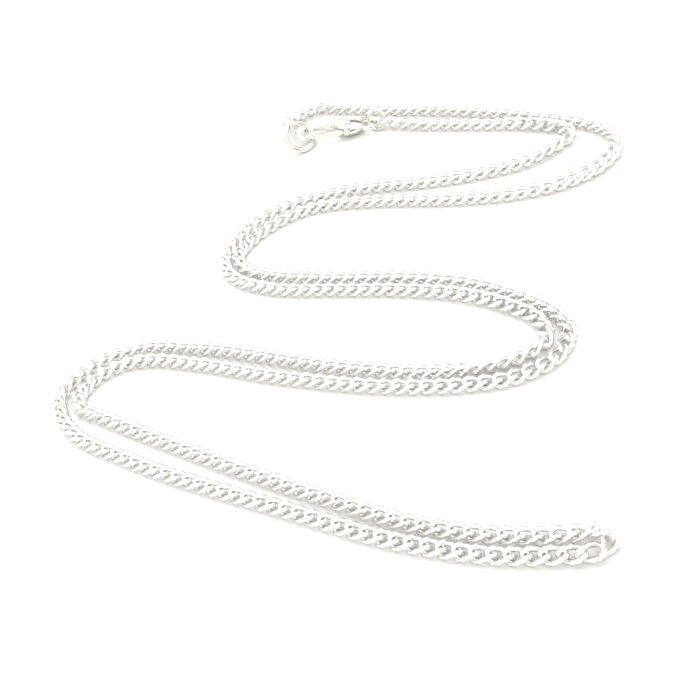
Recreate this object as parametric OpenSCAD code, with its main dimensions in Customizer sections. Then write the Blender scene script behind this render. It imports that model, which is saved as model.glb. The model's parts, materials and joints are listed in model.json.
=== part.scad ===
// Fine curb chain necklace, fastened by a lobster clasp and laid doubled on a surface.
// Millimetres, +Z up. The surface is z = 0 and the origin is on it, in the middle of the layout.

/* [Chain] */
// Diameter of the wire of a link
wire_d = 0.61; // [0.58:0.01:0.62]
// Outer length of a link
link_l = 3.2; // [3.16:0.01:3.24]
// Outer width of a link that lies flat
link_w = 2.1; // [2.08:0.01:2.14]
// Distance from one link to the next
link_pitch = 1.7; // [1.68:0.01:1.72]
// Angle by which each end of a link is twisted out of flat
link_twist = 62; // [58:1:66]
// Number of separate links at each end, before the plain strand
end_links = 2; // [1:1:2]
// Gap between the last separate link and the plain strand
strand_gap = 0.15; // [0.1:0.01:0.3]

/* [Clasp body] */
// Length of the clasp, from the end of its eye to its nose
clasp_l = 12.7; // [12.4:0.1:13]
// Width of the clasp without its thumb tab
clasp_w = 4.4; // [4.3:0.1:4.6]
// Thickness of the clasp at its fattest
clasp_t = 2.3; // [2.2:0.1:2.4]
// Outer diameter of the eye
eye_d = 3.1; // [3:0.05:3.2]
// Diameter of the hole in the eye
eye_hole_d = 1.85; // [1.8:0.05:1.9]
// Thickness of the eye
eye_t = 0.75; // [0.7:0.05:0.8]

/* [Clasp lever] */
// Thickness of the lever
lever_t = 0.8; // [0.7:0.05:0.85]
// Width of the lever's arm
lever_w = 0.66; // [0.6:0.02:0.7]
// Diameter of the lever's hub
hub_d = 1.8; // [1.7:0.05:1.9]
// Distance from the pin to the round end of the thumb tab
tab_l = 3.5; // [3.3:0.1:3.7]
// Angle by which the lever opens
lever_open = 8; // [7:0.5:8.5]

/* [Clasp pin] */
// Diameter of the pin
pin_d = 0.7; // [0.6:0.02:0.8]
// Gap around the pin in the lever
pin_gap = 0.05; // [0.03:0.01:0.08]
// Gap around the pin in the clasp's body
pin_seat_gap = 0.02; // [0.01:0.01:0.04]

/* [Rings] */
// Outer diameter of the fastening ring
ring_d = 5.3; // [5.2:0.1:5.4]
// Diameter of the fastening ring's wire
ring_wire_d = 0.9; // [0.85:0.01:0.92]
// Outer diameter of the two small rings
small_ring_d = 3.4; // [3.3:0.05:3.6]
// Diameter of the small rings' wire
small_wire_d = 0.5; // [0.45:0.01:0.52]

/* [Fits] */
// Gap between linked pieces
link_gap = 0.21; // [0.2:0.01:0.22]
// Gap at each side of the lever in its slot
slot_gap = 0.12; // [0.1:0.01:0.16]
// Gap between the lever's end and the hook's point
point_gap = 0.3; // [0.28:0.01:0.32]

/* [How it lies] */
// Direction in which the clasp points, from eye to nose
clasp_turn = 197; // [196:0.5:198]
// Angle by which the clasp's nose is lifted
clasp_lift = 3; // [2.5:0.1:3.5]
// Angle by which the clasp's lever side is raised
clasp_roll = 8; // [7:0.5:9]
// Angle between the fastening ring and the surface
ring_tilt = 47.5; // [46.5:0.5:48.5]
// Direction of the level line that the fastening ring is tilted about
ring_turn = 245; // [243.5:0.5:246.5]
// Angle by which the small rings lean out of upright
small_lean = 28; // [26:1:30]

/* [Hidden] */
silver = [0.93, 0.92, 0.91];
pale_silver = [0.97, 0.97, 0.97];
grey_silver = [0.85, 0.85, 0.86];

// Route of the chain as it lies, chosen by hand: x, y, and the roll of the links out of flat.
// Strand a runs from the clasp's eye to the fold, strand b from the fold to the fastening ring.
strand_a = [
    [-13.05, 32.85, -50], [-8, 32.8, -10], [3, 33, 0], [9, 33, 20], [13, 32.5, 60], [15.2, 32, 80],
    [16.5, 30.5, 80], [15.5, 28, 60], [12, 24.5, 20], [4.5, 21, 0], [-15.5, 15.6, 0],
    [-20.1, 13.1, 0], [-24.7, 8.6, 0], [-26.1, 4, 0], [-26.1, 1, 20],
    [-24.6, -1.6, 20], [-21.5, -3.5, 0], [-16.5, -4.4, 0], [-5.5, -3.4, 0], [3.5, -2.3, 0],
    [12, -2.2, 15], [17.5, -3.2, 30], [22.5, -5.4, 25], [24, -8, 30], [22.3, -11, 65],
    [19, -13.1, 60], [13, -14.8, 10], [2.5, -16, 0], [-22, -16.5, 0],
    [-29, -17.6, 0], [-33.8, -20.6, 0], [-36.3, -24.5, 0], [-36.5, -28, 20], [-34.5, -30.5, 0],
    [-30, -33, 0], [-22, -34.5, 0], [3, -36.5, 0], [18, -37.1, 0],
    [27.5, -36.1, 0], [33, -34.7, 20], [35.9, -33.7, 45], [37, -32.6, 60]
];
strand_b = [
    [36.2, -31.6, 45], [34.5, -31.8, 20], [31.5, -32.8, 0], [25, -34.2, 0], [19, -34.8, 0],
    [6.5, -34, 0], [-19, -31, 0], [-29, -29.5, 0], [-32, -29, 30],
    [-33.5, -27.5, 30], [-33.5, -25, 0], [-30, -20.7, 0], [-27, -19.6, 0], [-20, -19, 0],
    [-7, -19, 0], [10.5, -17.5, 0], [17, -16, 0], [22.3, -13.8, 0], [26.1, -9.5, 10],
    [26.2, -6.5, 10], [24.1, -3.9, 10], [20, -1.9, 10], [17, -1, 10], [12, 0, 0], [4, 0, 0],
    [-8, -1.5, 0], [-15.5, -2, 0], [-21, -1.5, 30], [-23.9, 1, 30], [-23.7, 4.5, 0],
    [-21.8, 8.2, 0], [-18, 11.8, 0], [-14, 13.4, 0], [-8, 14.5, 0], [5.5, 16, 0], [12.5, 17.5, 0],
    [19, 20.5, 20], [22.5, 24, 40], [23.5, 28, 40], [21.5, 31.5, 20], [19, 33, 0],
    [13, 34.5, 0], [3.5, 36, 0], [-17, 36.8, 0], [-24, 37, 0],
    [-27.4, 36.8, 30], [-29, 35.9, 30]
];
// Fineness: steps of the route between two rows, sides of a link and of its wire, and the
// sections and sides of the clasp's body
route_steps = 10;
link_sides = 16;
wire_sides = 6;
body_steps = 3;
body_sides = 14;
round_fn = 48;

// Sections of the clasp's body from the eye to the hook's point: place along the clasp as a share
// of its reach, place across it and half width as shares of clasp_w, and half thickness as a share
// of clasp_t. The lever's side is positive.
body_rows = [
    [0.08, 0, 0.17, 0.24],
    [0.14, 0, 0.3, 0.37],
    [0.23, -0.01, 0.44, 0.48],
    [0.315, -0.04, 0.48, 0.5],
    [0.405, -0.18, 0.34, 0.5],
    [0.495, -0.3, 0.22, 0.46],
    [0.615, -0.36, 0.17, 0.35],
    [0.76, -0.36, 0.155, 0.26],
    [0.865, -0.285, 0.137, 0.21],
    [0.943, -0.115, 0.125, 0.183],
    [0.948, 0.115, 0.118, 0.174],
    [0.895, 0.295, 0.1, 0.165],
    [0.795, 0.4, 0.082, 0.16]
];

// Vectors and splines
function unit(v) = v / norm(v);
function plan(p) = [p.x, p.y];
function turned(p, a) = [p.x * cos(a) - p.y * sin(a), p.x * sin(a) + p.y * cos(a)];
// Length of a step between two rows, in their first dims columns
function span(rows, i, dims) =
    norm([for (c = [0 : dims - 1]) rows[i + 1][c] - rows[i][c]]);
// Slope at a row, weighted so that a short step next to a long one doesn't overshoot
function slope(rows, i, dims) =
    i == 0 ? (rows[1] - rows[0]) / span(rows, 0, dims)
    : i == len(rows) - 1 ? (rows[i] - rows[i - 1]) / span(rows, i - 1, dims)
    : ((rows[i] - rows[i - 1]) * span(rows, i, dims) / span(rows, i - 1, dims)
        + (rows[i + 1] - rows[i]) * span(rows, i - 1, dims) / span(rows, i, dims))
        / (span(rows, i - 1, dims) + span(rows, i, dims));
// Smooth curve through the rows, at share t of the step that starts at row i
function between(rows, i, t, dims) =
    rows[i] * (2 * t * t * t - 3 * t * t + 1)
    + slope(rows, i, dims) * span(rows, i, dims) * (t * t * t - 2 * t * t + t)
    + rows[i + 1] * (3 * t * t - 2 * t * t * t)
    + slope(rows, i + 1, dims) * span(rows, i, dims) * (t * t * t - t * t);
function smooth(rows, steps, dims) = concat(
    [for (i = [0 : len(rows) - 2]) for (k = [0 : steps - 1]) between(rows, i, k / steps, dims)],
    [rows[len(rows) - 1]]
);

// A link's wire follows an oval whose ends are twisted out of flat
oval_a = (link_l - wire_d) / 2;
oval_b = (link_w - wire_d) / 2;
oval_power = 0.62;
function blunt(x) = sign(x) * pow(abs(x), oval_power);
function link_point(t) =
    let (across = oval_b * blunt(sin(t)), twist = link_twist * blunt(cos(t)))
        [oval_a * blunt(cos(t)), across * cos(twist), -across * sin(twist)];
link_curve = [for (k = [0 : link_sides - 1]) link_point(360 * k / link_sides)];
chain_h = 2 * max([for (p = link_curve) p.z]) + wire_d;
// Height of a link's centre when it lies on the surface, rolled by an angle
function link_z(roll) =
    wire_d / 2 + max([for (p = link_curve) -p.y * sin(roll) - p.z * cos(roll)]);

// Ring of points around p, with the given radii along two directions
function ellipse(p, side, up, r_side, r_up, n) =
    [for (k = [0 : n - 1]) p + side * r_side * cos(360 * k / n) + up * r_up * sin(360 * k / n)];
// Skin over rings of points, with flat ends or closed on itself
module skin(rings, closed = false) {
    n = len(rings);
    m = len(rings[0]);
    sides = [
        for (j = [0 : n - (closed ? 1 : 2)]) for (k = [0 : m - 1])
            let (
                a = j * m + k,
                b = ((j + 1) % n) * m + k,
                c = ((j + 1) % n) * m + (k + 1) % m,
                d = j * m + (k + 1) % m
            )
                each [[a, b, c], [a, c, d]]
    ];
    ends = closed ? [] : [[for (k = [0 : m - 1]) k], [for (k = [m - 1 : -1 : 0]) (n - 1) * m + k]];
    polyhedron(points = [for (r = rings) for (p = r) p], faces = concat(sides, ends), convexity = 10);
}

// Both small rings: inside radius, middle radius, and how far from its centre a linked wire lies
small_hole_r = small_ring_d / 2 - small_wire_d;
small_r = (small_ring_d - small_wire_d) / 2;
function seat(thickness) = small_hole_r - link_gap - thickness / 2;
// Slope, below level, of the line on which a small ring holds its two neighbours
hang = 12;

// End ring: it leans, holds the first link low on one side and the eye's wall on the other
start_a = strand_a[0];
way_a = atan2(strand_a[1].y - start_a.y, strand_a[1].x - start_a.x);
end_ring_up = [0, sin(small_lean), cos(small_lean)];
end_ring_z = small_r * cos(small_lean) + small_wire_d / 2;
function end_ring_offset(reach, along, up) =
    let (o = along * reach * [1, 0, 0] + up * reach * end_ring_up)
        concat(turned(plan(o), way_a), [o.z]);
link_a_in = end_ring_offset(seat(wire_d), cos(hang), -sin(hang));
end_ring_at = concat(plan(start_a) - turned([oval_a, 0], way_a) - plan(link_a_in), [end_ring_z]);
start_z_a = end_ring_z + link_a_in.z;

// The clasp's own frame: the eye's centre is its origin, +X points at the nose, +Y at the lever
reach = clasp_l - eye_d / 2;
body_table = [
    for (r = body_rows) [r[0] * reach, r[1] * clasp_w, r[2] * clasp_w, r[3] * clasp_t]
];
body_path = smooth(body_table, body_steps, 2);
function body_way(i) =
    unit(plan(body_path[min(i + 1, len(body_path) - 1)]) - plan(body_path[max(i - 1, 0)]));
body_rings = [
    for (i = [0 : len(body_path) - 1])
        let (r = body_path[i], way = body_way(i))
            ellipse([r[0], r[1], 0], [-way.y, way.x, 0], [0, 0, 1], r[2], r[3], body_sides)
];
function clasp_turned(p) =
    let (
        a = [p.x, p.y * cos(clasp_roll) - p.z * sin(clasp_roll),
            p.y * sin(clasp_roll) + p.z * cos(clasp_roll)],
        b = [a.x * cos(clasp_lift) - a.z * sin(clasp_lift), a.y,
            a.x * sin(clasp_lift) + a.z * cos(clasp_lift)]
    )
        concat(turned(plan(b), clasp_turn), [b.z]);
clasp_z = -min(
    min([for (r = body_rings) for (p = r) clasp_turned(p).z]),
    min([for (k = [0 : 5 : 355]) for (z = [-1, 1])
        clasp_turned([(eye_d / 2 - eye_t / 4) * cos(k), (eye_d / 2 - eye_t / 4) * sin(k), z * eye_t / 2]).z])
);

// The eye's wall sits in the end ring, as far from the first link as the ring's hole allows. It
// is thick, so its corners need a little more of the hole than a round wire does.
eye_wall = (eye_d - eye_hole_d) / 2;
wall_in = clasp_turned([-(eye_d - eye_wall) / 2, 0, 0]);
eye_seat = seat(eye_wall) - 0.04;
eye_up = (wall_in.z + clasp_z - end_ring_z) / cos(small_lean);
eye_in = end_ring_offset(1, -sqrt(max(eye_seat * eye_seat - eye_up * eye_up, 0)), eye_up);
clasp_at = concat(plan(end_ring_at) + plan(eye_in) - plan(wall_in), [clasp_z]);

// Fastening ring: it passes through the hook behind the nose and rests on the surface
ring_r = (ring_d - ring_wire_d) / 2;
ring_z = ring_r * sin(ring_tilt) + ring_wire_d / 2;
ring_pass = clasp_at + clasp_turned([0.84 * reach, 0.035 * clasp_w, 0.05 * clasp_t]);
ring_level = [cos(ring_turn), sin(ring_turn), 0];
ring_rise = [sin(ring_turn) * cos(ring_tilt), -cos(ring_turn) * cos(ring_tilt), sin(ring_tilt)];
ring_phase = asin((ring_z - ring_pass.z) / (ring_r * sin(ring_tilt)));
ring_at = ring_pass + ring_r * (cos(ring_phase) * ring_level + sin(ring_phase) * ring_rise);

// Link ring: it goes round the fastening ring where that is highest, and holds the last link.
// The last links slope down from it in a straight line, and the route ends behind them.
link_phase = 92;
link_swing = 22;
link_ring_turn = 12;
last_turn = 130;
last_roll = 40;
last_rise = 0.25;
held_at = ring_at + ring_r * (cos(link_phase) * ring_level + sin(link_phase) * ring_rise);
away = cos(link_swing) * cross(ring_level, ring_rise) - sin(link_swing) * ring_level;
link_ring_at = held_at + seat(ring_wire_d) * away;
level_side = unit(ring_level - (ring_level * away) * away);
link_ring_across = cos(link_ring_turn) * cross(level_side, away) + sin(link_ring_turn) * level_side;
last_wire_at = link_ring_at + seat(wire_d) * away;
last_slope = asin((last_wire_at.z - link_z(0) - last_rise) / (end_links * link_pitch + oval_a));
last_way = [
    -cos(last_turn) * cos(last_slope), -sin(last_turn) * cos(last_slope), sin(last_slope)
];
last_at = last_wire_at - oval_a * last_way;
route_end = last_at - end_links * link_pitch * last_way;

// The whole chain's route, with the distance from its start to each of its fine points
route = concat(strand_a, strand_b, [[route_end.x, route_end.y, last_roll]]);
fine = smooth(route, route_steps, 2);
travelled = [
    for (i = 0, s = 0; i < len(fine);
        s = s + (i < len(fine) - 1 ? norm(plan(fine[i + 1]) - plan(fine[i])) : 0), i = i + 1) s
];
column = [for (c = [0 : 2]) [for (i = [0 : len(fine) - 1]) [travelled[i], fine[i][c]]]];
function row_at(s) = [for (c = [0 : 2]) lookup(s, column[c])];
chain_l = travelled[len(fine) - 1];
fold_at = travelled[(len(strand_a) - 1) * route_steps];
link_count = round(chain_l / link_pitch) + 1;
link_step = chain_l / (link_count - 1);
// Direction of the chain over half a link to each side
function heading(s) =
    let (d = row_at(min(s + link_pitch / 2, chain_l)) - row_at(max(s - link_pitch / 2, 0)))
        atan2(d.y, d.x);

// Height of a link's centre above where it would lie, near the raised ends of the route
first_lift = start_z_a - 0.15 - link_z(start_a[2]);
last_lift = route_end.z - link_z(last_roll);
function lift(s) =
    first_lift * pow(max(0, 1 - s / 5), 2) + last_lift * pow(max(0, 1 - (chain_l - s) / 3.4), 2);
function link_centre(s) =
    let (r = row_at(s))
        [r[0], r[1], link_z(r[2]) + lift(s)];
function link_way(s) =
    let (w = unit(link_centre(min(s + link_pitch / 2, chain_l)) - link_centre(max(s - link_pitch / 2, 0))))
        s > chain_l - 0.01 ? unit(w + last_way) : w;

// Lever, from its pin to the gap before the hook's point
pin_at = [0.279 * reach, 0.17 * clasp_w];
tip_r = lever_w / 2;
hook_way = body_way(len(body_path) - 1);
tip_at = plan(body_path[len(body_path) - 1]) + hook_way * (point_gap + tip_r);
lever_turn = atan2(tip_at.y - pin_at.y, tip_at.x - pin_at.x);
lever_l = norm(tip_at - pin_at);
lever_bow = 0.3;
tab_turn = 232;
tab_end_r = 0.42;
tab_w = 0.7;

// Outline of a round bar along a closed curve
function loop_rings(curve, r, n) =
    [
        for (i = [0 : len(curve) - 1])
            let (
                p = curve[i],
                t = unit(curve[(i + 1) % len(curve)] - curve[(i + len(curve) - 1) % len(curve)]),
                out = unit(p - (p * t) * t)
            )
                ellipse(p, out, cross(t, out), r, r, n)
    ];
link_rings = loop_rings(link_curve, wire_d / 2, wire_sides);
// Point p of a piece whose X runs along way and which is rolled about it, at centre
function placed(p, centre, way, roll) =
    let (
        side = unit(cross([0, 0, 1], way)),
        up = cross(way, side)
    )
        centre + way * p.x + (side * cos(roll) + up * sin(roll)) * p.y
            + (up * cos(roll) - side * sin(roll)) * p.z;
module link(centre, way, roll) {
    skin([for (r = link_rings) [for (p = r) placed(p, centre, way, roll)]], closed = true);
}

// Plain strand in place of the links: its section is as high as the chain, and nearly as wide
strand_share = 0.95;
function strand_points(roll) =
    [
        for (k = [0 : 45 : 315])
            [
                strand_share * link_w / 2 * cos(k) * cos(roll) - chain_h / 2 * sin(k) * sin(roll),
                strand_share * link_w / 2 * cos(k) * sin(roll) + chain_h / 2 * sin(k) * cos(roll)
            ]
    ];
function strand_section(rows, i) =
    let (
        r = rows[i],
        before = plan(r) - plan(rows[max(i - 1, 0)]),
        after = plan(rows[min(i + 1, len(rows) - 1)]) - plan(r),
        way = unit((i > 0 ? unit(before) : [0, 0]) + (i < len(rows) - 1 ? unit(after) : [0, 0])),
        ring = strand_points(r[2]),
        low = min([for (p = ring) p.y])
    )
        [for (p = ring) [r[0] - way.y * p.x, r[1] + way.x * p.x, p.y - low]];
module strand(rows, first, last) {
    skin([for (i = [first : last]) strand_section(rows, i)]);
}
near_end = (end_links - 1) * link_step + link_l / 2 + strand_gap;
rows_a = concat(
    [row_at(near_end)],
    [for (i = [1 : len(strand_a) - 1]) if (travelled[i * route_steps] > near_end + 1.5) strand_a[i]],
    [strand_b[0]]
);
rows_b = concat(
    [strand_a[len(strand_a) - 2], row_at(fold_at + 3 * strand_gap)],
    [
        for (i = [0 : len(strand_b) - 1])
            if (travelled[(len(strand_a) + i) * route_steps] < chain_l - 1) strand_b[i]
    ],
    [row_at(chain_l - 3 * strand_gap)]
);

module chain_a() {
    color(silver) strand(rows_a, 0, len(rows_a) - 2);
}
module chain_b() {
    color(silver) strand(rows_b, 1, len(rows_b) - 1);
}
module end_link_a(n) {
    s = (n - 1) * link_step;
    color(silver) link(link_centre(s), link_way(s), row_at(s)[2]);
}
module end_link_b(n) {
    color(silver) link(last_at - (n - 1) * link_pitch * last_way, last_way, last_roll);
}

// Round ring with its hole along Z
module ring(outer_d, section_d) {
    rotate_extrude($fn = round_fn)
        translate([(outer_d - section_d) / 2, 0])
            circle(d = section_d, $fn = 20);
}
// Turns a ring so that X goes along way and Y along across
module laid(centre, way, across) {
    up = cross(way, across);
    multmatrix([
        [way.x, across.x, up.x, centre.x],
        [way.y, across.y, up.y, centre.y],
        [way.z, across.z, up.z, centre.z],
        [0, 0, 0, 1]
    ])
        children();
}
module fastening_ring() {
    color(pale_silver)
        laid(ring_at, ring_level, ring_rise)
            ring(ring_d, ring_wire_d);
}
module end_ring() {
    way = concat(turned([1, 0], way_a), [0]);
    across = concat(turned([0, end_ring_up.y], way_a), [end_ring_up.z]);
    color(pale_silver)
        laid(end_ring_at, way, across)
            ring(small_ring_d, small_wire_d);
}
module link_ring() {
    color(pale_silver)
        laid(link_ring_at, away, link_ring_across)
            ring(small_ring_d, small_wire_d);
}

module in_clasp() {
    translate(clasp_at)
        rotate([0, 0, clasp_turn])
            rotate([0, -clasp_lift, 0])
                rotate([clasp_roll, 0, 0])
                    children();
}
// Section of the eye's wall, with its corners taken off
module eye_section() {
    w = eye_wall / 2;
    h = eye_t / 2;
    translate([(eye_d - eye_wall) / 2, 0])
        polygon([
            [-w, -h * 0.45], [-w * 0.5, -h], [w * 0.5, -h], [w, -h * 0.45],
            [w, h * 0.45], [w * 0.5, h], [-w * 0.5, h], [-w, h * 0.45]
        ]);
}
// Hollow that the lever swings in: gap round the lever, and lengths on the arm's and the tab's side
pocket_gap = 0.12;
arm_pocket_l = 3.2;
tab_pocket_l = 4.5;
module pocket() {
    linear_extrude(lever_t + 2 * slot_gap, center = true)
        translate(pin_at) {
            circle(d = hub_d + 2 * pocket_gap, $fn = round_fn);
            polygon([
                for (q = [[0, 0], [1, 0], [1, 1], [0, 1]])
                    pocket_corner(lever_turn - lever_open * (1 - q[1]), arm_pocket_l * q[0], 2 * q[1] - 1)
            ]);
            polygon([
                for (q = [[0, 0], [1, 0], [1, 1], [0, 1]])
                    tab_corner(tab_turn - lever_open * (1 - q[1]), tab_pocket_l * q[0], 2 * q[1] - 1)
            ]);
        }
}
function corner(angle, along, across) =
    [along * cos(angle) - across * sin(angle), along * sin(angle) + across * cos(angle)];
function pocket_corner(angle, along, side) =
    corner(angle, along, side * (lever_w / 2 + pocket_gap) + (side > 0 ? lever_bow + 0.1 : 0));
function tab_corner(angle, along, side) = corner(angle, along, side * (tab_w / 2 + pocket_gap));
module clasp_body() {
    color(silver)
        in_clasp()
            difference() {
                union() {
                    skin(body_rings);
                    rotate_extrude($fn = round_fn) eye_section();
                }
                pocket();
                cylinder(h = 2 * eye_t, d = eye_hole_d, center = true, $fn = round_fn);
                translate(pin_at)
                    cylinder(h = 2 * clasp_t, d = pin_d + 2 * pin_seat_gap, center = true, $fn = round_fn);
            }
}
module lever_arm() {
    steps = 10;
    side = [
        for (j = [0 : steps])
            let (t = j / steps)
                [t * lever_l, lever_bow * sin(180 * t), lever_bow * 180 * cos(180 * t) / lever_l * PI / 180]
    ];
    polygon(concat(
        [for (q = side) [q[0] - tip_r * sin(atan(q[2])), q[1] + tip_r * cos(atan(q[2]))]],
        [
            for (j = [steps : -1 : 0])
                let (q = side[j])
                    [q[0] + tip_r * sin(atan(q[2])), q[1] - tip_r * cos(atan(q[2]))]
        ]
    ));
}
module clasp_lever() {
    color(pale_silver)
        in_clasp()
            translate(pin_at)
                difference() {
                    union() {
                        cylinder(h = lever_t, d = hub_d, center = true, $fn = round_fn);
                        rotate(lever_turn) {
                            linear_extrude(lever_t, center = true) lever_arm();
                            translate([lever_l - 0.02, 0, 0])
                                cylinder(h = lever_t, r = tip_r + 0.01, center = true, $fn = 24);
                        }
                        rotate(tab_turn) {
                            translate([tab_l / 2, 0, 0]) cube([tab_l, tab_w, lever_t], center = true);
                            translate([tab_l, 0, 0])
                                cylinder(h = lever_t, r = tab_end_r, center = true, $fn = 24);
                        }
                    }
                    cylinder(h = 2 * lever_t, d = pin_d + 2 * pin_gap, center = true, $fn = round_fn);
                }
}
module clasp_pin() {
    color(grey_silver)
        in_clasp()
            translate(pin_at)
                cylinder(h = 0.8 * clasp_t, d = pin_d, center = true, $fn = round_fn);
}

chain_a();
chain_b();
for (i = [1 : end_links]) {
    end_link_a(i);
    end_link_b(i);
}
fastening_ring();
end_ring();
link_ring();
clasp_body();
clasp_lever();
clasp_pin();
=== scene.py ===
import json
import math
import random

import bpy
import numpy as np
from mathutils import Matrix, Quaternion, Vector
from mathutils.bvhtree import BVHTree


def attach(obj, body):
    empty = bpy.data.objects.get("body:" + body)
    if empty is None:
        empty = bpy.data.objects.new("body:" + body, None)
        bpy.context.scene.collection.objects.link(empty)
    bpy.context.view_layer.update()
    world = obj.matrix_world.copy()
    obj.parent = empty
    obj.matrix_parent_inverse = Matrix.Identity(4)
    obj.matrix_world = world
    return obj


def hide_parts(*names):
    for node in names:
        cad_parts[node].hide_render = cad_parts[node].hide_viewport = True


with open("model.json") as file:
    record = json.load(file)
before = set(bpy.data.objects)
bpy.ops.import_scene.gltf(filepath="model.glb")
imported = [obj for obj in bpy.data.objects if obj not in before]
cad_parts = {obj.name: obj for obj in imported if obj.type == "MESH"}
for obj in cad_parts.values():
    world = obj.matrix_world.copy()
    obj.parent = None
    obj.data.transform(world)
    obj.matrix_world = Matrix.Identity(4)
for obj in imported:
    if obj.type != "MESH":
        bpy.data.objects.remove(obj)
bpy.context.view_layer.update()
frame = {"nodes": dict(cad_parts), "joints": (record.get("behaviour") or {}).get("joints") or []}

bpy.ops.object.select_all(action="DESELECT")

# Camera
# The photograph looks down across the rows from the lower right, with the camera rolled clockwise
# by a quarter of a right angle. Its lens is a normal one, and everything is sharp.
photo_width_px = 700
focal_px = 947
camera_at = Vector((0.0550, -0.0780, 0.08097))
camera_heading = math.radians(130)
camera_down = math.radians(43.52)
camera_roll = math.radians(22.43)

bpy.ops.object.camera_add(location=camera_at)
camera = bpy.context.object
camera.name = "camera"
camera.data.sensor_fit = "HORIZONTAL"
camera.data.lens = focal_px / photo_width_px * camera.data.sensor_width
camera.data.clip_start = 0.005
looking = Vector((
    math.cos(camera_heading) * math.cos(camera_down),
    math.sin(camera_heading) * math.cos(camera_down),
    -math.sin(camera_down),
))
camera.rotation_mode = "QUATERNION"
camera.rotation_quaternion = (
    looking.to_track_quat("-Z", "Y") @ Quaternion((0, 0, 1), -camera_roll)
)
bpy.context.scene.camera = camera

# Curb chain
# Its 358 links are round silver wire, soldered shut and twisted so that the chain lies flat.
# It's one chain, folded in two and laid in five rows; links on the bends tip onto their edges.
wire_d = 0.00064
link_length = 0.0032
link_width = 0.0021
link_pitch = 0.0017
link_twist = math.radians(62)
# Steps along a quarter of a link's oval, and Blender's measure of how round its wire is
quarter_steps = 3
wire_roundness = 1
loop_half_length = (link_length - wire_d) / 2
loop_half_width = (link_width - wire_d) / 2
# Handles of the oval, as a share of its half length and half width: a true ellipse has 0.55
blunt_handle = 0.8

# The route as the chain lies: x, y and the roll of the links out of flat, in degrees.
# Strand a runs from the clasp's eye to the fold, strand b from the fold to the fastening ring.
strand_a_rows = [
    (-.01305, .03285, -50), (-.008, .0328, -10), (.003, .033, 0), (.009, .033, 20),
    (.013, .0325, 60), (.0152, .032, 80), (.0165, .0305, 80), (.0155, .028, 60),
    (.012, .0245, 20), (.0045, .021, 0), (-.0155, .0156, 0), (-.0201, .0131, 0),
    (-.0247, .0086, 0), (-.0261, .004, 0), (-.0261, .001, 20), (-.0246, -.0016, 20),
    (-.0215, -.0035, 0), (-.0165, -.0044, 0), (-.0055, -.0034, 0), (.0035, -.0023, 0),
    (.012, -.0022, 15), (.0175, -.0032, 30), (.0225, -.0054, 25), (.024, -.008, 30),
    (.0223, -.011, 65), (.019, -.0131, 60), (.013, -.0148, 10), (.0025, -.016, 0),
    (-.022, -.0165, 0), (-.029, -.0176, 0), (-.0338, -.0206, 0), (-.0363, -.0245, 0),
    (-.0365, -.028, 20), (-.0345, -.0305, 0), (-.03, -.033, 0), (-.022, -.0345, 0),
    (.003, -.0365, 0), (.018, -.0371, 0), (.0275, -.0361, 0), (.033, -.0347, 20),
    (.0359, -.0337, 45), (.037, -.0326, 60),
]
strand_b_rows = [
    (.0362, -.0316, 45), (.0345, -.0318, 20), (.0315, -.0328, 0), (.025, -.0342, 0),
    (.019, -.0348, 0), (.0065, -.034, 0), (-.019, -.031, 0), (-.029, -.0295, 0),
    (-.032, -.029, 30), (-.0335, -.0275, 30), (-.0335, -.025, 0), (-.03, -.0207, 0),
    (-.027, -.0196, 0), (-.02, -.019, 0), (-.007, -.019, 0), (.0105, -.0175, 0), (.017, -.016, 0),
    (.0223, -.0138, 0), (.0261, -.0095, 10), (.0262, -.0065, 10), (.0241, -.0039, 10),
    (.02, -.0019, 10), (.017, -.001, 10), (.012, 0, 0), (.004, 0, 0), (-.008, -.0015, 0),
    (-.0155, -.002, 0), (-.021, -.0015, 30), (-.0239, .001, 30), (-.0237, .0045, 0),
    (-.0218, .0082, 0), (-.018, .0118, 0), (-.014, .0134, 0), (-.008, .0145, 0), (.0055, .016, 0),
    (.0125, .0175, 0), (.019, .0205, 20), (.0225, .024, 40), (.0235, .028, 40),
    (.0215, .0315, 20), (.019, .033, 0), (.013, .0345, 0), (.0035, .036, 0), (-.017, .0368, 0),
    (-.024, .037, 0), (-.0274, .0368, 30), (-.029, .0359, 30),
]
last_roll = 40
route_steps = 10
first_rise_length = 0.005
last_rise_length = 0.0034


def smooth_rows(rows, steps):
    """Rows on a smooth curve through the given ones, spaced by x and y, whatever their other columns."""
    rows = np.array(rows, float)
    spans = np.linalg.norm(np.diff(rows[:, :2], axis=0), axis=1)[:, None]
    chords = np.diff(rows, axis=0) / spans
    slopes = np.empty_like(rows)
    slopes[0], slopes[-1] = chords[0], chords[-1]
    slopes[1:-1] = (chords[:-1] * spans[1:] + chords[1:] * spans[:-1]) / (spans[:-1] + spans[1:])
    fine = []
    for i, span in enumerate(spans):
        for t in np.arange(steps) / steps:
            fine.append(
                rows[i] * (2 * t**3 - 3 * t**2 + 1) + slopes[i] * span * (t**3 - 2 * t**2 + t)
                + rows[i + 1] * (3 * t**2 - 2 * t**3) + slopes[i + 1] * span * (t**3 - t**2)
            )
    return np.array(fine + [rows[-1]])


def node_points(node):
    """The corners of a CAD node, at rest."""
    return np.array([v.co for v in frame["nodes"][node].data.vertices])


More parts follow.
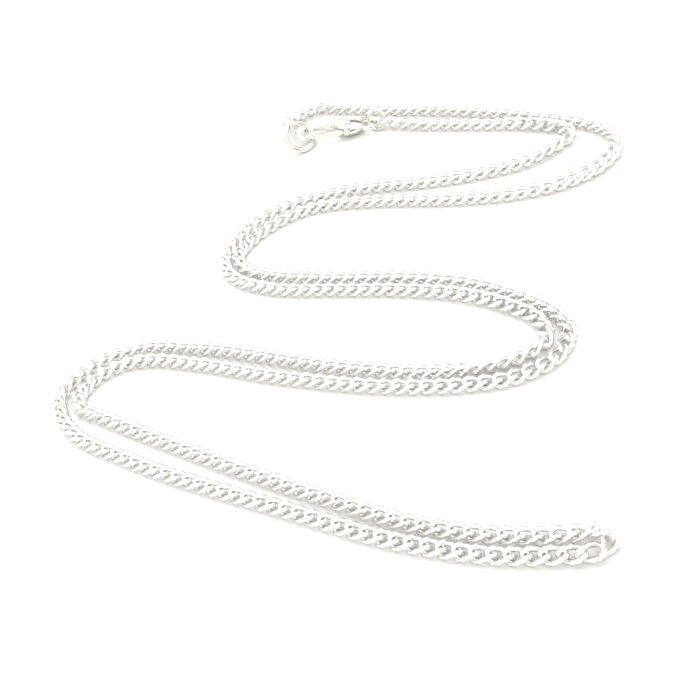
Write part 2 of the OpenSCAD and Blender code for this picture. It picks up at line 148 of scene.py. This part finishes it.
# One link: an oval of wire, blunted by its handles and then twisted about its length
bpy.ops.curve.primitive_bezier_circle_add(radius=1, enter_editmode=True)
bpy.ops.curve.select_all(action="SELECT")
bpy.ops.transform.resize(value=(loop_half_length, loop_half_width, 1))
bpy.ops.object.mode_set(mode="OBJECT")
link = bpy.context.object
true_handle = 4 / 3 * (math.sqrt(2) - 1)
for point in link.data.splines[0].bezier_points:
    point.handle_left_type = point.handle_right_type = "FREE"
    point.handle_left = point.co.lerp(point.handle_left, blunt_handle / true_handle)
    point.handle_right = point.co.lerp(point.handle_right, blunt_handle / true_handle)
link.data.dimensions = "3D"
link.data.resolution_u = quarter_steps
link.data.bevel_depth = wire_d / 2
link.data.bevel_resolution = wire_roundness
bpy.ops.object.convert(target="MESH")
link = bpy.context.object
twist = link.modifiers.new("twist", "SIMPLE_DEFORM")
twist.deform_method = "TWIST"
twist.deform_axis = "X"
twist.angle = -link_twist / loop_half_length * link.dimensions.x
bpy.ops.object.modifier_apply(modifier=twist.name)
bpy.ops.object.mode_set(mode="EDIT")
bpy.ops.mesh.select_all(action="SELECT")
bpy.ops.mesh.remove_doubles(threshold=0.00001)
bpy.ops.mesh.normals_make_consistent(inside=False)
bpy.ops.object.mode_set(mode="OBJECT")
bpy.ops.object.shade_smooth()

# Where each link lies: on the surface, apart from the raised ends at the clasp and the ring
link_points = np.array([v.co for v in link.data.vertices])


def rest_height(roll):
    """Height of a link's centre above the surface that the link just touches, at that roll."""
    return max(-link_points[:, 1] * math.sin(roll) - link_points[:, 2] * math.cos(roll))


first_link_at = node_points("end_link_a1").mean(0)
last_link_at = node_points("end_link_b1").mean(0)
next_link_at = node_points("end_link_b2").mean(0)
route_end = 2 * next_link_at - last_link_at
end_row = (route_end[0], route_end[1], last_roll)
route = smooth_rows(strand_a_rows + strand_b_rows + [end_row], route_steps)
travelled = np.concatenate([[0], np.cumsum(np.linalg.norm(np.diff(route[:, :2], axis=0), axis=1))])
route_length = travelled[-1]
fold_at = travelled[(len(strand_a_rows) - 1) * route_steps]
first_rise = first_link_at[2] - rest_height(math.radians(strand_a_rows[0][2]))
last_rise = route_end[2] - rest_height(math.radians(last_roll))


def route_row(s):
    """x, y and roll in radians at a distance along the route."""
    x, y, roll = (np.interp(s, travelled, route[:, c]) for c in range(3))
    return x, y, math.radians(roll)


def link_centre(s):
    """Centre of the link at a distance along the route, raised near both ends of the chain."""
    x, y, roll = route_row(s)
    rise = first_rise * max(0, 1 - s / first_rise_length) ** 2
    rise += last_rise * max(0, 1 - (route_length - s) / last_rise_length) ** 2
    return Vector((x, y, rest_height(roll) + rise))


def link_place(centre, way, roll):
    """Matrix that lays a link at a centre, along a way, rolled out of flat."""
    side = Vector((0, 0, 1)).cross(way).normalized()
    turned = Matrix((way, side, way.cross(side))).transposed().to_4x4()
    return Matrix.Translation(centre) @ turned @ Matrix.Rotation(roll, 4, "X")


places = []
link_count = round(route_length / link_pitch) + 1
for i in range(link_count):
    s = i * route_length / (link_count - 1)
    before = link_centre(max(s - link_pitch / 2, 0))
    after = link_centre(min(s + link_pitch / 2, route_length))
    places.append((s, link_place(link_centre(s), (after - before).normalized(), route_row(s)[2])))
last_way = Vector(last_link_at - next_link_at).normalized()
for centre in (next_link_at, last_link_at):
    places.append((route_length, link_place(Vector(centre), last_way, math.radians(last_roll))))

# Each link hangs a little differently from the next
link_wobble = math.radians(2)
wobble_seed = 7
chance = random.Random(wobble_seed)


def lay_strand(name, first, last):
    """Links at all places from one distance to another, set down on the surface and joined."""
    bpy.ops.object.select_all(action="DESELECT")
    for s, place in places:
        if first <= s < last:
            wobble = Matrix.Rotation(chance.uniform(-link_wobble, link_wobble), 4, "X")
            copy = bpy.data.objects.new(name, link.data.copy())
            copy.data.transform(place @ wobble)
            lowest = min(v.co.z for v in copy.data.vertices)
            copy.data.transform(Matrix.Translation((0, 0, max(0, -lowest))))
            bpy.context.collection.objects.link(copy)
            copy.select_set(True)
            bpy.context.view_layer.objects.active = copy
    bpy.ops.object.join()
    strand = bpy.context.object
    strand.name = name
    return strand


chain_strand_a = lay_strand("chain_strand_a", 0, fold_at)
chain_strand_b = lay_strand("chain_strand_b", fold_at, math.inf)
bpy.data.objects.remove(link)


def make_polish_group():
    """Silver as it is worn: patches of haze and hairline marks in the polish, with painted shade
    darkening its recesses.
    """
    group = bpy.data.node_groups.new("silver_polish", "ShaderNodeTree")
    inputs = {
        "Bright": ("NodeSocketColor", (0.95, 0.94, 0.93, 1)),
        "Hazy": ("NodeSocketColor", (0.8, 0.78, 0.75, 1)),
        "Patch Scale": ("NodeSocketFloat", 900),
        "Mark Scale": ("NodeSocketFloat", 6000),
        "Smoothest": ("NodeSocketFloat", 0.08),
        "Roughest": ("NodeSocketFloat", 0.22),
        # The colour below is painted shade: a dark warm grey mixed in where the silver is shut in
        "Recess Shade": ("NodeSocketColor", (0.36, 0.35, 0.31, 1)),
    }
    for name, (kind, value) in inputs.items():
        socket = group.interface.new_socket(name, in_out="INPUT", socket_type=kind)
        socket.default_value = value
    group.interface.new_socket("Color", in_out="OUTPUT", socket_type="NodeSocketColor")
    group.interface.new_socket("Roughness", in_out="OUTPUT", socket_type="NodeSocketFloat")
    group.interface.new_socket("Height", in_out="OUTPUT", socket_type="NodeSocketFloat")
    nodes, links = group.nodes, group.links
    given, given_out = nodes.new("NodeGroupInput"), nodes.new("NodeGroupOutput")
    place = nodes.new("ShaderNodeTexCoord")
    patches, marks = nodes.new("ShaderNodeTexNoise"), nodes.new("ShaderNodeTexNoise")
    patches.inputs["Detail"].default_value = 3
    marks.inputs["Detail"].default_value = 2
    marks.inputs["Distortion"].default_value = 1.5
    spread = nodes.new("ShaderNodeMapRange")
    spread.inputs["From Min"].default_value = 0.4
    spread.inputs["From Max"].default_value = 0.7
    tint = nodes.new("ShaderNodeMix")
    tint.data_type = "RGBA"
    dull = nodes.new("ShaderNodeMapRange")
    # The recess share mixes in painted shade, darkening the colour where the silver is shut in
    recess, shade = nodes.new("ShaderNodeAttribute"), nodes.new("ShaderNodeMix")
    recess.attribute_name = "recess"
    shade.data_type = "RGBA"
    for source, target in (
        (place.outputs["Object"], patches.inputs["Vector"]),
        (place.outputs["Object"], marks.inputs["Vector"]),
        (given.outputs["Patch Scale"], patches.inputs["Scale"]),
        (given.outputs["Mark Scale"], marks.inputs["Scale"]),
        (patches.outputs["Fac"], spread.inputs["Value"]),
        (spread.outputs["Result"], tint.inputs["Factor"]),
        (given.outputs["Bright"], tint.inputs["A"]),
        (given.outputs["Hazy"], tint.inputs["B"]),
        (marks.outputs["Fac"], dull.inputs["Value"]),
        (given.outputs["Smoothest"], dull.inputs["To Min"]),
        (given.outputs["Roughest"], dull.inputs["To Max"]),
        (recess.outputs["Fac"], shade.inputs["Factor"]),
        (tint.outputs["Result"], shade.inputs["A"]),
        (given.outputs["Recess Shade"], shade.inputs["B"]),
        (shade.outputs["Result"], given_out.inputs["Color"]),
        (dull.outputs["Result"], given_out.inputs["Roughness"]),
        (marks.outputs["Fac"], given_out.inputs["Height"]),
    ):
        links.new(source, target)
    return group


silver_polish = make_polish_group()


def silver(name, mark_depth, **polish):
    """Silver of one piece: the shared polish with this piece's own values, and its marks as a bump."""
    material = bpy.data.materials.new(name)
    material.use_nodes = True
    nodes, links = material.node_tree.nodes, material.node_tree.links
    shader = nodes["Principled BSDF"]
    shader.inputs["Metallic"].default_value = 1
    finish = nodes.new("ShaderNodeGroup")
    finish.node_tree = silver_polish
    for key, value in polish.items():
        finish.inputs[key.replace("_", " ")].default_value = value
    bump = nodes.new("ShaderNodeBump")
    bump.inputs["Strength"].default_value = 1
    bump.inputs["Distance"].default_value = mark_depth
    links.new(finish.outputs["Color"], shader.inputs["Base Color"])
    links.new(finish.outputs["Roughness"], shader.inputs["Roughness"])
    links.new(finish.outputs["Height"], bump.inputs["Height"])
    links.new(bump.outputs["Normal"], shader.inputs["Normal"])
    return material


def dress(piece, material, body, slot, *nodes):
    """Gives a finished piece its material and its body, and hides the CAD nodes that it stands for. The
    slot is not used.
    """
    piece.data.materials.clear()
    piece.data.materials.append(material)
    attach(piece, body)
    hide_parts(*nodes)


chain_silver = silver(
    "chain_silver", 0.000002, Bright=(0.98, 0.97, 0.955, 1), Hazy=(0.95, 0.93, 0.9, 1),
    Smoothest=0.25, Roughest=0.4,
)
dress(chain_strand_a, chain_silver, "necklace", "chain_silver", "chain_a", "end_link_a1", "end_link_a2")
dress(chain_strand_b, chain_silver, "necklace", "chain_silver", "chain_b", "end_link_b1", "end_link_b2")

# Rings
# The clasp hooks into a thick round ring, and a thin ring joins the chain to each finding.
# Each is a length of drawn wire, bent round until its two sawn ends meet in a hairline seam.
thick_wire_d = 0.0009
thin_wire_d = 0.0005
thick_ring_steps = 72
thin_ring_steps = 48
ring_wire_sides = 16
seam_gap = 0.00004
sawn_edge = 0.00002


def lying(node):
    """Where a round CAD node lies, with Z along the way in which it's thinnest, and its corners."""
    points = node_points(node)
    centre = (points.min(0) + points.max(0)) / 2
    axes = np.linalg.svd(points - points.mean(0), full_matrices=False)[2]
    turned = Matrix((axes[0], np.cross(axes[2], axes[0]), axes[2])).transposed().to_4x4()
    return Matrix.Translation(centre) @ turned, points


def bend_ring(name, node, wire, steps, seam_turn):
    """A wire bent round to lie where the CAD ring lies, with a seam at an angle round it."""
    place, points = lying(node)
    radius = np.linalg.norm(points - points.mean(0), axis=1).max() - wire / 2
    open_angle = seam_gap / radius
    bpy.ops.mesh.primitive_circle_add(
        vertices=ring_wire_sides, radius=wire / 2, fill_type="NGON", enter_editmode=True,
        location=(radius, 0, 0), rotation=(math.pi / 2, 0, 0),
    )
    ring = bpy.context.object
    bpy.ops.mesh.spin(
        steps=steps, angle=2 * math.pi - open_angle, center=(0, 0, 0), axis=(0, 0, 1),
    )
    bpy.ops.mesh.select_all(action="SELECT")
    bpy.ops.mesh.normals_make_consistent(inside=False)
    bpy.ops.object.mode_set(mode="OBJECT")
    bpy.ops.object.transform_apply(location=True, rotation=True, scale=True)
    soften = ring.modifiers.new("sawn ends", "BEVEL")
    soften.width = sawn_edge
    soften.segments = 2
    soften.limit_method = "ANGLE"
    soften.angle_limit = math.radians(60)
    bpy.ops.object.modifier_apply(modifier=soften.name)
    ring.name = name
    ring.data.transform(place @ Matrix.Rotation(seam_turn, 4, "Z"))
    bpy.ops.object.shade_smooth_by_angle(angle=math.radians(40))
    return ring


ring_silver = silver(
    "ring_silver", 0.000003, Bright=(0.84, 0.83, 0.79, 1), Hazy=(0.66, 0.65, 0.58, 1),
    Patch_Scale=500, Mark_Scale=3500, Smoothest=0.08, Roughest=0.2,
)
thick_ring = bend_ring("thick_ring", "fastening_ring", thick_wire_d, thick_ring_steps, seam_turn=2.4)
dress(thick_ring, ring_silver, "necklace", "ring_silver", "fastening_ring")
eye_ring = bend_ring("eye_ring", "end_ring", thin_wire_d, thin_ring_steps, seam_turn=1.2)
dress(eye_ring, ring_silver, "necklace", "ring_silver", "end_ring")
chain_ring = bend_ring("chain_ring", "link_ring", thin_wire_d, thin_ring_steps, seam_turn=4.0)
dress(chain_ring, ring_silver, "necklace", "ring_silver", "link_ring")

# Clasp body
# Hook, hollow and eye of a lobster clasp, cast in one piece and tumbled until its edges are soft.
# The hollow is cut through from the hub to both sides, so that the lever can swing in it.
clasp_length = 0.0127
clasp_width = 0.0044
clasp_thickness = 0.0023
eye_d = 0.0031
eye_hole_d = 0.00185
eye_thickness = 0.00075
clasp_reach = clasp_length - eye_d / 2
clasp_heading = math.radians(197)
clasp_lift = math.radians(3)
clasp_roll = math.radians(8)
pin_d = 0.0007
lever_thickness = 0.0008
lever_width = 0.00066
hub_d = 0.0018
slot_gap = 0.00012
lever_opens = math.radians(8)
# From the eye to the hook's point: place along the clasp as a share of its reach, place across it
# and half width as shares of its width, and half thickness as a share of its thickness
body_rows = [
    (0.08, 0, 0.17, 0.24), (0.14, 0, 0.3, 0.37), (0.23, -0.01, 0.44, 0.48),
    (0.315, -0.04, 0.48, 0.5), (0.405, -0.18, 0.34, 0.5), (0.495, -0.3, 0.22, 0.46),
    (0.615, -0.36, 0.17, 0.35), (0.76, -0.36, 0.155, 0.26), (0.865, -0.285, 0.137, 0.21),
    (0.943, -0.115, 0.125, 0.183), (0.948, 0.115, 0.118, 0.174), (0.895, 0.295, 0.1, 0.165),
    (0.795, 0.4, 0.082, 0.16),
]
body_steps = 3
body_sides = 20
pin_at = Vector((0.279 * clasp_reach, 0.17 * clasp_width, 0))
hinge = frame["joints"][0]
clasp_turned = (
    Matrix.Rotation(clasp_heading, 4, "Z") @ Matrix.Rotation(-clasp_lift, 4, "Y")
    @ Matrix.Rotation(clasp_roll, 4, "X")
)
clasp_place = Matrix.Translation(Vector(hinge["pos_m"]) - clasp_turned @ pin_at) @ clasp_turned
# Pieces under a millimetre are cut at this many times their size, which the cutting needs
cutting_scale = 1000


def cut(piece, tool, way="DIFFERENCE"):
    """Cuts a tool out of a piece, or joins it on, while both are enlarged, and throws it away."""
    for part in (piece, tool):
        part.data.transform(Matrix.Scale(cutting_scale, 4))
    bpy.context.view_layer.objects.active = piece
    change = piece.modifiers.new(way, "BOOLEAN")
    change.operation = way
    change.solver = "EXACT"
    change.object = tool
    bpy.ops.object.modifier_apply(modifier=change.name)
    piece.data.transform(Matrix.Scale(1 / cutting_scale, 4))
    bpy.data.objects.remove(tool)


def tumble(piece, voxel, passes):
    """Remeshes a piece evenly, drops loose crumbs and wears the edges soft, as tumbling does."""
    bpy.ops.object.select_all(action="DESELECT")
    piece.select_set(True)
    bpy.context.view_layer.objects.active = piece
    even = piece.modifiers.new("even", "REMESH")
    even.mode = "VOXEL"
    even.voxel_size = voxel
    bpy.ops.object.modifier_apply(modifier=even.name)
    bpy.ops.mesh.separate(type="LOOSE")
    *crumbs, piece = sorted(bpy.context.selected_objects, key=lambda part: len(part.data.vertices))
    for crumb in crumbs:
        bpy.data.objects.remove(crumb)
    bpy.context.view_layer.objects.active = piece
    wear = piece.modifiers.new("wear", "SMOOTH")
    wear.factor = 0.5
    wear.iterations = passes
    bpy.ops.object.modifier_apply(modifier=wear.name)
    bpy.ops.object.shade_smooth()
    return piece


ray_count = 6
ray_lean = 0.6
ray_start = 0.00002


def mark_recesses(piece, reach):
    """Stores at each point how shut in it is: the share of rays from it that soon meet the piece, by
    which the silver there is painted darker as shade.
    """
    corners = [v.co for v in piece.data.vertices]
    tree = BVHTree.FromPolygons(corners, [p.vertices for p in piece.data.polygons])
    recess = piece.data.attributes.new("recess", "FLOAT", "POINT")
    for point, value in zip(piece.data.vertices, recess.data):
        across = point.normal.orthogonal()
        start = point.co + ray_start * point.normal
        met = 0
        for k in range(ray_count):
            round_normal = Quaternion(point.normal, k * 2 * math.pi / ray_count)
            leaning = (point.normal + round_normal @ across * ray_lean).normalized()
            met += tree.ray_cast(start, leaning, reach)[0] is not None
        value.value = met / ray_count


def round_bar(radius, depth, at=(0, 0, 0), sides=48):
    """A plain upright cylinder, to cut with or to build on."""
    bpy.ops.object.select_all(action="DESELECT")
    bpy.ops.mesh.primitive_cylinder_add(vertices=sides, radius=radius, depth=depth, location=at)
    bpy.ops.object.transform_apply(location=True, rotation=True, scale=True)
    return bpy.context.object


def draw_out(rows):
    """Draws the face being edited out along rows of x, y, half width and half thickness."""
    ways = np.gradient(rows[:, :2], axis=0)
    turns = np.unwrap(np.arctan2(ways[:, 1], ways[:, 0]))
    centre = Vector((rows[0][0], rows[0][1], 0))
    bpy.ops.transform.resize(value=(1, rows[0][2], rows[0][3]))
    bpy.ops.transform.translate(value=centre)
    bpy.ops.transform.rotate(value=-turns[0], orient_axis="Z", center_override=centre)
    for before, after, turn, last_turn in zip(rows[:-1], rows[1:], turns[1:], turns[:-1]):
        step = Vector((after[0], after[1], 0)) - centre
        centre = centre + step
        bpy.ops.mesh.extrude_region_move(TRANSFORM_OT_translate={"value": step})
        # The end face is turned square to X, sized, and turned into its new direction
        bpy.ops.transform.rotate(value=last_turn, orient_axis="Z", center_override=centre)
        growth = (1, after[2] / before[2], after[3] / before[3])
        bpy.ops.transform.resize(value=growth, center_override=centre)
        bpy.ops.transform.rotate(value=-turn, orient_axis="Z", center_override=centre)
    bpy.ops.mesh.select_all(action="SELECT")
    bpy.ops.mesh.normals_make_consistent(inside=False)
    bpy.ops.object.mode_set(mode="OBJECT")
    bpy.ops.object.transform_apply(location=True, rotation=True, scale=True)
    return bpy.context.object


def flat_bar(length, low_side, high_side, thickness, low_turn, high_turn):
    """A flat bar that leaves the pin, its low side at one turn and its high side at another."""
    bpy.ops.object.select_all(action="DESELECT")
    bpy.ops.mesh.primitive_cube_add(size=1)
    bar = bpy.context.object
    for corner in bar.data.vertices:
        along, up = (corner.co.x + 0.5) * length, corner.co.z * thickness
        turn, side = (high_turn, high_side) if corner.co.y > 0 else (low_turn, -low_side)
        corner.co = pin_at + Matrix.Rotation(turn, 3, "Z") @ Vector((along, side, up))
    return bar


drawn_rows = smooth_rows([
    (x * clasp_reach, y * clasp_width, w * clasp_width, t * clasp_thickness)
    for x, y, w, t in body_rows
], body_steps)
bpy.ops.object.select_all(action="DESELECT")
bpy.ops.mesh.primitive_circle_add(
    vertices=body_sides, radius=1, fill_type="NGON", enter_editmode=True,
    rotation=(math.pi / 2, 0, math.pi / 2),
)
clasp_body = draw_out(drawn_rows)

eye_wall = (eye_d - eye_hole_d) / 2
bpy.ops.mesh.primitive_torus_add(
    major_radius=(eye_d - eye_wall) / 2, minor_radius=eye_wall / 2, major_segments=48, minor_segments=16,
)
clasp_eye = bpy.context.object
clasp_eye.scale.z = eye_thickness / eye_wall
bpy.ops.object.transform_apply(location=True, rotation=True, scale=True)
cut(clasp_body, clasp_eye, "UNION")
cut(clasp_body, round_bar(eye_hole_d / 2, 2 * eye_thickness))

slot_thickness = lever_thickness + 2 * slot_gap
lever_bow = 0.0003
tip = Vector((*drawn_rows[-1][:2], 0))
tip_way = Vector((*(drawn_rows[-1] - drawn_rows[-2])[:2], 0)).normalized()
point_gap = 0.0003
lever_end = tip + tip_way * (point_gap + lever_width / 2)
lever_turn = math.atan2(lever_end.y - pin_at.y, lever_end.x - pin_at.x)
lever_length = (lever_end - pin_at).length
tab_turn = math.radians(232)
tab_length = 0.0035
tab_width = 0.0007
clear_side = lever_width / 2 + slot_gap
clear_tab = tab_width / 2 + slot_gap
arm_slot_length = 0.0032
tab_slot_length = 0.0045
bow_room = 0.0001
pin_seat_gap = 0.00002
hair = 0.000008
cut(clasp_body, round_bar(hub_d / 2 + slot_gap, slot_thickness, at=pin_at))
# Each slot is cut a hair thicker than the last, so that no two faces lie in one plane
cut(clasp_body, flat_bar(
    arm_slot_length, clear_side, clear_side + lever_bow + bow_room, slot_thickness + hair,
    lever_turn - lever_opens, lever_turn,
))
cut(clasp_body, flat_bar(
    tab_slot_length, clear_tab, clear_tab, slot_thickness + 2 * hair,
    tab_turn - lever_opens, tab_turn,
))
cut(clasp_body, round_bar(pin_d / 2 + pin_seat_gap, 2 * clasp_thickness, at=pin_at))
clasp_body = tumble(clasp_body, voxel=0.00006, passes=4)
# The casting's slots and hollows get painted shade through this share
mark_recesses(clasp_body, reach=0.0013)
clasp_body.data.transform(clasp_place)
clasp_body.name = "clasp_casting"
cast_silver = silver(
    "cast_silver", 0.000004, Bright=(0.88, 0.87, 0.83, 1), Hazy=(0.7, 0.69, 0.62, 1),
    Patch_Scale=400, Mark_Scale=2500, Smoothest=0.08, Roughest=0.2,
)
dress(clasp_body, cast_silver, "necklace", "cast_silver", "clasp_body")

# Clasp lever
# A sprung gate that closes the hook, with a hub on the pin and a thumb tab by the eye.
# It's cast flat, bowed a little outwards, and its spring is hidden inside the hub.
arm_stations = 11
tab_end_radius = 0.00042
pin_gap = 0.00005

lever = round_bar(hub_d / 2, lever_thickness, at=pin_at)
arm_share = np.linspace(0, 1, arm_stations)
arm_rows = np.stack([
    arm_share * lever_length, lever_bow * np.sin(math.pi * arm_share),
    np.full(arm_stations, lever_width / 2), np.full(arm_stations, (lever_thickness - hair) / 2),
], axis=1)
bpy.ops.object.select_all(action="DESELECT")
bpy.ops.mesh.primitive_plane_add(size=2, enter_editmode=True, rotation=(0, math.pi / 2, 0))
arm = draw_out(arm_rows)
arm.data.transform(Matrix.Translation(pin_at) @ Matrix.Rotation(lever_turn, 4, "Z"))
cut(lever, arm, "UNION")
cut(lever, round_bar(lever_width / 2, lever_thickness - 2 * hair, at=lever_end, sides=24), "UNION")
cut(lever, flat_bar(
    tab_length, tab_width / 2, tab_width / 2, lever_thickness - 3 * hair, tab_turn, tab_turn,
), "UNION")
tab_end = pin_at + Matrix.Rotation(tab_turn, 3, "Z") @ Vector((tab_length, 0, 0))
cut(lever, round_bar(tab_end_radius, lever_thickness - 4 * hair, at=tab_end, sides=24), "UNION")
cut(lever, round_bar(pin_d / 2 + pin_gap, 2 * lever_thickness, at=pin_at))
lever = tumble(lever, voxel=0.00004, passes=3)
lever.data.transform(clasp_place)
lever.name = "lever_gate"
# The lever's silver is the clasp's cast silver painted darker and warmer all over, as painted shade for
# its underside and the shadow under it
lever_silver = silver(
    "lever_silver", 0.000003, Bright=(0.78, 0.77, 0.7, 1), Hazy=(0.56, 0.55, 0.47, 1),
    Patch_Scale=600, Mark_Scale=3500, Smoothest=0.08, Roughest=0.2,
)
dress(lever, lever_silver, "lever", "lever_silver", "clasp_lever")

# Clasp pin
# A rivet of harder silver that the lever turns on, filed back and peened into the casting.
pin_length = 0.8 * clasp_thickness
peened_edge = 0.00012

pin = round_bar(pin_d / 2, pin_length, at=pin_at, sides=32)
dome = pin.modifiers.new("peened ends", "BEVEL")
dome.width = peened_edge
dome.segments = 4
dome.limit_method = "ANGLE"
bpy.ops.object.modifier_apply(modifier=dome.name)
pin.data.transform(clasp_place)
pin.name = "lever_pin"
bpy.ops.object.shade_smooth_by_angle(angle=math.radians(40))
pin_silver = silver("pin_silver", 0.000002, Bright=(0.86, 0.86, 0.86, 1), Hazy=(0.7, 0.7, 0.7, 1))
dress(pin, pin_silver, "necklace", "pin_silver", "clasp_pin")

# Table and light
# A pale sheet under a white tent, lit from above and behind. The tent is open at the back, where
# the room is dim, and the camera stands dark in front of it; the wire mirrors both.
back_way, back_reach = Vector((-0.087, 0.996, 0.53)), math.radians(20)
front_way, front_reach = Vector((0.7, -0.62, 0.25)), math.radians(15)
patch_edge = math.radians(5)
dim_room = (0.16, 0.155, 0.15, 1)
low_cloth = (0.8, 0.78, 0.745, 1)
low_cloth_at, high_cloth_at = 0.12, 0.5
seen_backdrop = (0.93, 0.925, 0.915, 1)
tent_strength = 1.25
paper_colour = (0.86, 0.85, 0.83, 1)
overhead_at = Vector((-0.1, 0.15, 0.5))

bpy.ops.object.select_all(action="DESELECT")
bpy.ops.mesh.primitive_plane_add(size=4)
floor = bpy.context.object
floor.name = "floor"
paper = bpy.data.materials.new("pale_paper")
paper.use_nodes = True
paper_shader = paper.node_tree.nodes["Principled BSDF"]
paper_shader.inputs["Base Color"].default_value = paper_colour
paper_shader.inputs["Roughness"].default_value = 0.9
paper_shader.inputs["Specular IOR Level"].default_value = 0
floor.data.materials.append(paper)

scene = bpy.context.scene
scene.view_settings.view_transform = "Standard"
scene.view_settings.gamma = 1.15
world = bpy.data.worlds.new("tent")
scene.world = world
world.use_nodes = True
tent, tent_links = world.node_tree.nodes, world.node_tree.links
background = tent["Background"]
direction = tent.new("ShaderNodeTexCoord")
split = tent.new("ShaderNodeSeparateXYZ")
cloth = tent.new("ShaderNodeValToRGB")
cloth.color_ramp.elements[0].position = low_cloth_at
cloth.color_ramp.elements[0].color = low_cloth
cloth.color_ramp.elements[1].position = high_cloth_at
cloth.color_ramp.elements[1].color = (1, 1, 1, 1)
tent_links.new(direction.outputs["Generated"], split.inputs["Vector"])
tent_links.new(split.outputs["Z"], cloth.inputs["Fac"])
shown = cloth.outputs["Color"]
for way, reach in ((back_way, back_reach), (front_way, front_reach)):
    towards = tent.new("ShaderNodeVectorMath")
    towards.operation = "DOT_PRODUCT"
    towards.inputs[1].default_value = way.normalized()
    patch = tent.new("ShaderNodeMapRange")
    patch.interpolation_type = "SMOOTHSTEP"
    patch.inputs["From Min"].default_value = math.cos(reach + patch_edge)
    patch.inputs["From Max"].default_value = math.cos(reach - patch_edge)
    over = tent.new("ShaderNodeMix")
    over.data_type = "RGBA"
    over.inputs["B"].default_value = dim_room
    tent_links.new(direction.outputs["Generated"], towards.inputs[0])
    tent_links.new(towards.outputs["Value"], patch.inputs["Value"])
    tent_links.new(patch.outputs["Result"], over.inputs["Factor"])
    tent_links.new(shown, over.inputs["A"])
    shown = over.outputs["Result"]
seen = tent.new("ShaderNodeLightPath")
choose = tent.new("ShaderNodeMix")
choose.data_type = "RGBA"
choose.inputs["B"].default_value = seen_backdrop
tent_links.new(shown, choose.inputs["A"])
tent_links.new(seen.outputs["Is Camera Ray"], choose.inputs["Factor"])
tent_links.new(choose.outputs["Result"], background.inputs["Color"])
background.inputs["Strength"].default_value = tent_strength

# A square soft box that faces the middle of the necklace
bpy.ops.object.light_add(type="AREA", location=overhead_at)
overhead = bpy.context.object
overhead.name = "overhead"
overhead.data.shape = "SQUARE"
overhead.data.size = 0.5
overhead.data.energy = 2
overhead.data.color = (1, 0.99, 0.98)
overhead.rotation_euler = (-overhead_at).to_track_quat("-Z", "Y").to_euler()
